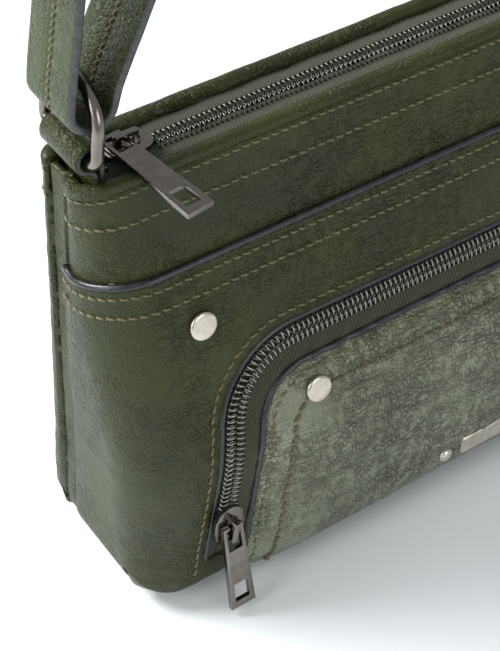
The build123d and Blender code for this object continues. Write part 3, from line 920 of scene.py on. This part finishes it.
def coil_row(track, side, pitch, height, phase):
    """One row of coil: a flattened helix along the chain, leaning to one side of its middle."""
    line, ups = [], []
    for k in range(int(track.length / pitch) * COIL_TURN):
        p, t, up = track(min((k / COIL_TURN + phase) * pitch, track.length - 1e-3))
        across = unit(np.cross(t, up)) * side
        a = 2 * math.pi * k / COIL_TURN
        squared = math.copysign(abs(math.cos(a)) ** 0.7, math.cos(a))
        reach = 0.25 + COIL_WIDTH / 2 * (1 - squared)
        line.append(p + across * reach + t * squared * 0.35 + up * height / 2 * (1 + math.sin(a)))
        ups.append(unit(up + across * 0.3 + t * 0.2))
    return sweep(line, ups, circle(COIL_WIRE, 5))


def chain(name, line, pitch, height, material, nodes):
    """Both meshed rows of a closed coil zip."""
    for word, side, phase, stands_for in zip("ab", (-1, 1), (0.0, 0.5), nodes):
        row = coil_row(Track(*line), side, pitch, height, phase)
        add(name + "_" + word, row, [material], stands_for)


def top_line(y, z, low, high, step=4.0):
    """Straight line along the top opening: points and ups."""
    xs = np.arange(low, high + step / 2, step)
    return [np.array([x, y, z]) for x in xs], [np.array([0, 0, 1.0])] * len(xs)


top_chain = top_line(0, TAPE_LEVEL + 0.25, -105.0, 118.0)
chain("top_coil", top_chain, 1.5, 1.55, coil_dark, [["top_zip_front_coil"], ["top_zip_back_coil"]])
for side, word in ((-1, "front"), (1, "back")):
    points, _ = top_line(side * 4.6, TAPE_LEVEL, -TOP_TAPE_END, TOP_TAPE_END, 2.0)
    ups = [unit(np.array([0, 0.05 * math.sin(p[0] * 0.4), 1])) for p in points]
    add("top_tape_" + word, sweep(points, ups, TAPE_SECTION), [tape], [f"top_zip_{word}_tape"])


def tape_height(inward):
    """How far the pocket's zip tape stands out, from the cut edge inward to the pocket panel."""
    return 0.15 + 2.0 * clamp((inward - 6.0) / 7.0) ** 1.3


def pocket_ribbon(name, low, high, node_name):
    """Zip tape between two distances in from the cut edge, along the whole arch."""
    insets = [low + (high - low) * j / RIBBON_COLUMNS for j in range(RIBBON_COLUMNS + 1)]
    routes = [arch_route(inset, MOUTH_FOOT - 1.0) for inset in insets]
    verts = []
    for i in range(RIBBON_ROWS + 1):
        for inset, route in zip(insets, routes):
            x, z = route.at(route.length * i / RIBBON_ROWS)[0]
            ripple = 0.18 * math.sin(i * 0.9 + inset) * max(0.0, (inset - 5) / 8)
            verts.append(on_front(x, z, tape_height(inset) + ripple))
    piece = new_piece(name, (verts, grid_faces(RIBBON_ROWS, RIBBON_COLUMNS)), [tape, tape])
    aim_outwards(piece)
    thicken(piece, 0.6)
    place(piece, "bag", [node_name])


pocket_ribbon("pocket_tape_outer", -2.0, CHAIN_AT - 0.2, "pocket_zip_outer_tape")
pocket_ribbon("pocket_tape_inner", CHAIN_AT + 0.2, POCKET_GAP + 2.5, "pocket_zip_inner_tape")


def arch_line(inward, lift, foot=MOUTH_FOOT, step=2.0, start=0.0, end=0.0):
    """Points and outward normals along the arch, lift(x, z) standing out from the front."""
    route = arch_route(inward, foot)
    places = [route.at(d)[0] for d in np.arange(start, route.length - end, step)]
    return [on_front(x, z, lift(x, z)) for x, z in places], [front_normal(x, z) for x, z in places]


pocket_chain = arch_line(CHAIN_AT + 0.4, lambda x, z: 0.75, step=1.5, start=20.0, end=1.0)
chain("pocket_coil", pocket_chain, 1.6, 1.9, coil_bright, [["pocket_zip_coil"], []])


# ---- edges and stitching round the pocket ----
def lower_at(x, z, more=0.0):
    """Stand-off of the lower panel at a height."""
    return lower_lift(x, height_to_v(z)) + more


def pocket_at(x, z, more=0.0):
    """Stand-off of the pocket panel at a height."""
    return pocket_lift(x, height_to_v(z)) + more


MOUTH_PITCH, MOUTH_THREAD = 3.2, 0.33
mouth_line = arch_line(0.25, lambda x, z: lower_at(x, z, -0.6))
add("mouth_edge", sweep(*mouth_line, circle(BEAD, 10)), [edge_paint])
pocket_rim = arch_line(POCKET_GAP - 0.1, lambda x, z: pocket_at(x, z, -0.55), POCKET_FOOT)
add("pocket_edge", sweep(*pocket_rim, circle(BEAD, 10)), [edge_paint])
mouth_seam = Track(*arch_line(-3.0, lower_at, MOUTH_FOOT - 4))
add("mouth_stitches", stitches(mouth_seam, MOUTH_PITCH, MOUTH_THREAD), [thread])
pocket_seam = Track(*arch_line(POCKET_GAP + 2.4, pocket_at, POCKET_FOOT + 2))
add("pocket_stitches", stitches(pocket_seam, MOUTH_PITCH, MOUTH_THREAD), [thread])
cord_line = Track(*arch_line(POCKET_GAP + 8.2, lambda x, z: pocket_at(x, z, 0.15), POCKET_FOOT + 1))
add("pocket_cord_stitches", twisted_stitches(cord_line, 3.4, 0.6), [cord_thread])

# ---- rivets ----
CAP = [(3.6, -0.6), (3.95, 0.0), (4.0, 0.5), (3.9, 0.85), (3.6, 1.1), (3.2, 1.18), (2.0, 1.28)]
CAP += [(0.8, 1.32), (0.05, 1.33)]
DOME = [(2.0, -0.5), (2.35, 0.0), (2.3, 0.4), (1.9, 0.9), (1.2, 1.25), (0.5, 1.4), (0.05, 1.42)]
PLATE_LEVEL = 17.0


def rivet_pair(name, x, z, lift, outline, node_name):
    """Turned caps, each from (radius, height) points, seated on the leather each side of the middle."""
    parts = []
    for at in (-x, x):
        origin, up = on_front(at, z, lift(at, z, 0.1)), unit(front_normal(at, z))
        side = unit(np.cross([0, 0, 1.0], up))
        ahead = np.cross(up, side)
        rings = [[origin + side * a + ahead * b + up * h for a, b in circle(r, 40)] for r, h in outline]
        parts.append(tube(rings))
    add(name, joined(parts), [nickel], [node_name])


rivet_pair("panel_rivet_caps", HALF_WIDTH - 24.0, 94.5, lower_at, CAP, "panel_rivets")
rivet_pair("pocket_rivet_caps", HALF_WIDTH - 53.0, 64.0, pocket_at, CAP, "pocket_rivets")
rivet_pair("dome_rivet_caps", 33.0, PLATE_LEVEL, pocket_at, DOME, "dome_rivets")

# ---- strap: one folded strip through both rings and the buckle ----
STRAP_LEAN = math.radians(11.0)
WIRE_X, WIRE_Z = 124.148, 165.156
STRAP_CROWN = (58.0, 462.0)
STRAP_STEP = 1.6
# Corners as (along the run from the ring, across it towards the bag's middle, radius).
BUCKLE_FOLD = [(154, 11.6, 0), (178, 10.6, 12), (188.2, 4.9, 6), (193.6, 3.6, 3.2), (193.6, -3.6, 3.3)]
BUCKLE_FOLD += [(186.4, -3.6, 3.3), (186.0, 1.6, 2), (178, 7.9, 10)]
INNER_STRAND = [(160, 9.2, 30), (120, 12.0, 40), (60, 15.5, 40), (26, 13.5, 40), (0, 6.4, 30)]
LEFT_LOOP = [(-10.5, 5.2, 5.2), (-10.5, -5.2, 5.2)]
OUTER_STRAND = [(0, -5.7, 30), (60, -7.2, 40), (120, -6.4, 40), (150, -3.0, 40), (178, 4.6, 5)]
OUTER_STRAND += [(190, -8.4, 5), (202, 4.6, 5), (220, 0.6, 20), (262, 0.0, 20)]
RIGHT_STRAND = [(262, 0.0, 20), (60, -0.6, 60), (36, -3.5, 12)]
RIGHT_LOOP = [(-10.5, -6.3, 6.0), (-10.5, 6.8, 6.0), (36, 0.2, 12), (66, 1.7, 0)]


def run_point(side, along, across):
    """Point beside the strap's straight run; across is positive towards the bag's middle."""
    inward = along * math.sin(STRAP_LEAN) + across * math.cos(STRAP_LEAN)
    return (side * (WIRE_X - inward), WIRE_Z + along * math.cos(STRAP_LEAN) - across * math.sin(STRAP_LEAN))


LEFT_RUN = BUCKLE_FOLD + INNER_STRAND + LEFT_LOOP + OUTER_STRAND
RIGHT_RUN = RIGHT_STRAND + RIGHT_LOOP
strap_corners = [(run_point(-1, along, across), radius) for along, across, radius in LEFT_RUN]
strap_corners += [((side * STRAP_CROWN[0], STRAP_CROWN[1]), 60) for side in (-1, 1)]
strap_corners += [(run_point(1, along, across), radius) for along, across, radius in RIGHT_RUN]
strap_route = Route([corner for corner, _ in strap_corners], [radius for _, radius in strap_corners[1:-1]])
STRAP_HALF = [(9.8, 0.5), (9.45, 1.0), (8.6, 1.12), (5.0, 1.2), (1.6, 1.15), (0.5, 0.8)]
STRAP_SECTION = [(-y, -h) for y, h in STRAP_HALF] + [(y, -h) for y, h in STRAP_HALF[::-1]]
STRAP_SECTION += [(y, h) for y, h in STRAP_HALF] + [(-y, h) for y, h in STRAP_HALF[::-1]]
STRAP_PAINT = 9.4  # the paint covers what lies further than this from the middle


def strap_spot(d):
    """Point of the strap's middle line and its normal in the plane of the strap."""
    (x, z), (dx, dz) = strap_route.at(min(max(d, 0.0), strap_route.length - 0.01))
    return np.array([x, 0.0, z]), np.array([-dz, 0.0, dx])


def strap_strip():
    """The strap's strip with rounded painted edges and a slightly sunk middle."""
    steps = int(strap_route.length / STRAP_STEP)
    rings = []
    for index in range(steps + 1):
        p, normal = strap_spot(strap_route.length * index / steps)
        wave = 0.1 * fbm(p[0], p[2], index * 0.2, 14, 2.0)
        across = np.array([0, 1 + 0.012 * wave, 0])
        rings.append([p + across * y + normal * (h + wave) for y, h in STRAP_SECTION])
    piece = new_piece("strap_strip", tube(rings), [strap_leather, strap_edge])
    sides = zip(STRAP_SECTION, STRAP_SECTION[1:] + STRAP_SECTION[:1])
    paint_edges(piece, [int(min(abs(a), abs(b)) > STRAP_PAINT) for (a, _), (b, _) in sides], len(rings))
    weld(piece, 0.02)
    agree(piece)
    place(piece, "bag", ["strap"])


def strap_face(sign):
    """Spots along the middle of one face of the strap."""

    def spots(d):
        d += 3.0
        if d > strap_route.length - 3.0:
            return None
        p, normal = strap_spot(d)
        return p + normal * sign * 0.85, unit(strap_spot(d + 0.5)[0] - p), normal * sign

    return spots


strap_strip()
strap_rows = [stitches(strap_face(sign), 2.1, 0.42, lean=0.5, fill=0.85) for sign in (-1, 1)]
add("strap_cord_stitches", joined(strap_rows), [cord_thread])

# ---- ring tabs: leather folded round each ring's bar and tucked inside the gusset ----
BAR_X, BAR_Z = 126.5, 146.0
TAB_HALF = 8.7
TAB_LOOP = 2.85
TAB_PLY = 0.85
TAB_FOOT = RIM - 15.0
TAB_STEPS = 64
TONGUE_X = HALF_WIDTH - LEATHER - 4.5


def ring_tab(side, word):
    """Folded tab: a loop round the bar and two plies down behind the gusset's top edge."""
    outer, inner = TONGUE_X + TAB_PLY, TONGUE_X - TAB_PLY
    corners = [(outer, TAB_FOOT), (outer, BAR_Z - 4.5), (BAR_X + TAB_LOOP, BAR_Z - 2.6)]
    corners += [(BAR_X + TAB_LOOP, BAR_Z + TAB_LOOP), (BAR_X - TAB_LOOP, BAR_Z + TAB_LOOP)]
    corners += [(inner, BAR_Z - 3.5), (inner, TAB_FOOT)]
    route = Route([(side * x, z) for x, z in corners], [3, 2.6, 2.8, 2.8, 4])
    quarter = [(TAB_HALF - 0.5, 0.8), (TAB_HALF, 0.4)]
    section = [(-y, -h) for y, h in quarter[::-1]] + [(y, -h) for y, h in quarter]
    section += [(-y, -h) for y, h in section]
    rings = []
    for index in range(TAB_STEPS + 1):
        (x, z), (dx, dz) = route.at(min(route.length * index / TAB_STEPS, route.length - 0.01))
        rings.append([np.array([x, y, z]) + np.array([-dz, 0.0, dx]) * h for y, h in section])
    piece = new_piece("folded_tab_" + word, tube(rings), [panel_leather, edge_paint])
    paint_edges(piece, [0, 0, 0, 1] * 2, len(rings))
    agree(piece)
    place(piece, "bag", ["ring_tab_" + word])
    across = np.arange(-TAB_HALF + 1.2, TAB_HALF - 1.0, 0.5)
    seam = Track([[side * (TONGUE_X - 1.7), y, RIM + 0.8] for y in across], [[-side, 0, 0.0]] * len(across))
    add("tab_stitches_" + word, stitches(seam, 2.8, 0.3), [thread])


ring_tab(-1, "left")
ring_tab(1, "right")


# ---- hardware: the CAD's own shapes with their edges rounded ----
def refined(node_name, body, width, material=gunmetal):
    """A copy of a CAD node's mesh with rounded edges, standing for the node."""
    source = bpy.data.objects[node_name]
    mesh = source.data.copy()
    mesh.transform(source.matrix_world)
    mesh.materials.clear()
    mesh.materials.append(material)
    piece = bpy.data.objects.new(node_name + "_smooth", mesh)
    bpy.context.scene.collection.objects.link(piece)
    weld(piece, 0.01)
    with edited(piece) as bm:
        bmesh.ops.dissolve_limit(bm, angle_limit=math.radians(2), verts=bm.verts, edges=bm.edges)
    soften(piece, width)
    for polygon in piece.data.polygons:
        polygon.use_smooth = True
        polygon.material_index = 0
    place(piece, body, [node_name])


for zip_name in ("top", "pocket"):
    refined(zip_name + "_slider", zip_name + "_slider", 0.3)
    refined(zip_name + "_pull", zip_name + "_pull", 0.35)
refined("strap_buckle", "bag", 0.6)
refined("top_zip_stops", "bag", 0.3)
refined("bar_plate", "bag", 0.25, nickel)

# ---- finishes for the CAD nodes that show as they are ----
CARRIED = {
    "d_ring_left": gunmetal,
    "d_ring_right": gunmetal,
    "strap_rivet": nickel,
    "rivet_backs": nickel,
    "base_panel": panel_leather,
    "base_board": board,
    "main_lining": lining_cloth,
    "pocket_lining": lining_cloth,
}
for node_name, material in CARRIED.items():
    item = bpy.data.objects[node_name]
    item.data.materials.clear()
    item.data.materials.append(material)
    for polygon in item.data.polygons:
        polygon.material_index = 0


# ---- stage, light and camera ----
def area_light(name, location, aim, size, power):
    """Soft rectangular light aimed at a point, in metres and watts."""
    data = bpy.data.lights.new(name, "AREA")
    data.shape = "RECTANGLE"
    data.size, data.size_y = size
    data.energy = power
    lamp = bpy.data.objects.new(name, data)
    lamp.location = location
    lamp.rotation_euler = (Vector(aim) - Vector(location)).to_track_quat("-Z", "Y").to_euler()
    bpy.context.scene.collection.objects.link(lamp)


def pale_floor():
    """Plain pale sheet that the purse stands on."""
    reach = 4000
    verts = [(-reach, -reach, 0), (reach, -reach, 0), (reach, reach, 0), (-reach, reach, 0)]
    paint = Surface("floor_paint", (0.86, 0.9, 0.91), 0.6).material
    new_piece("floor", (verts, [(0, 1, 2, 3)]), [paint])


def studio():
    """Soft light from all round, and three soft lamps."""
    world = bpy.data.worlds.new("studio")
    bpy.context.scene.world = world
    world.use_nodes = True
    background = world.node_tree.nodes["Background"]
    background.inputs["Color"].default_value = (0.95, 0.97, 1.0, 1)
    background.inputs["Strength"].default_value = 0.52
    area_light("key", (-0.75, 0.75, 1.1), (-0.03, 0, 0.08), (0.7, 0.7), 30)
    area_light("left_rim", (-1.3, -0.15, 0.7), (-0.1, 0, 0.08), (0.5, 0.9), 6)
    area_light("front_fill", (0.2, -1.5, 0.7), (0, 0, 0.04), (0.9, 0.6), 6)
    bpy.context.scene.view_settings.view_transform = "Standard"


CAMERA_PLACE = (-0.2733, -0.2827, 0.3878)
CAMERA_AZIMUTH = -35.08
CAMERA_ELEVATION = 43.55
CAMERA_ROLL = 0.6
CAMERA_LENS = 62.56


def camera():
    """Camera in front of the left end, looking down at it."""
    data = bpy.data.cameras.new("camera")
    data.sensor_fit = "VERTICAL"
    data.sensor_height = 24
    data.lens = CAMERA_LENS
    data.clip_start = 0.01
    item = bpy.data.objects.new("camera", data)
    a, e = math.radians(CAMERA_AZIMUTH), math.radians(CAMERA_ELEVATION)
    ahead = Vector((-math.sin(a) * math.cos(e), math.cos(a) * math.cos(e), -math.sin(e)))
    turn = ahead.to_track_quat("-Z", "Y").to_matrix().to_4x4()
    roll = Matrix.Rotation(math.radians(CAMERA_ROLL), 4, "Z")
    item.location = CAMERA_PLACE
    item.rotation_euler = (turn @ roll).to_euler()
    bpy.context.scene.collection.objects.link(item)
    bpy.context.scene.camera = item


pale_floor()
studio()
camera()
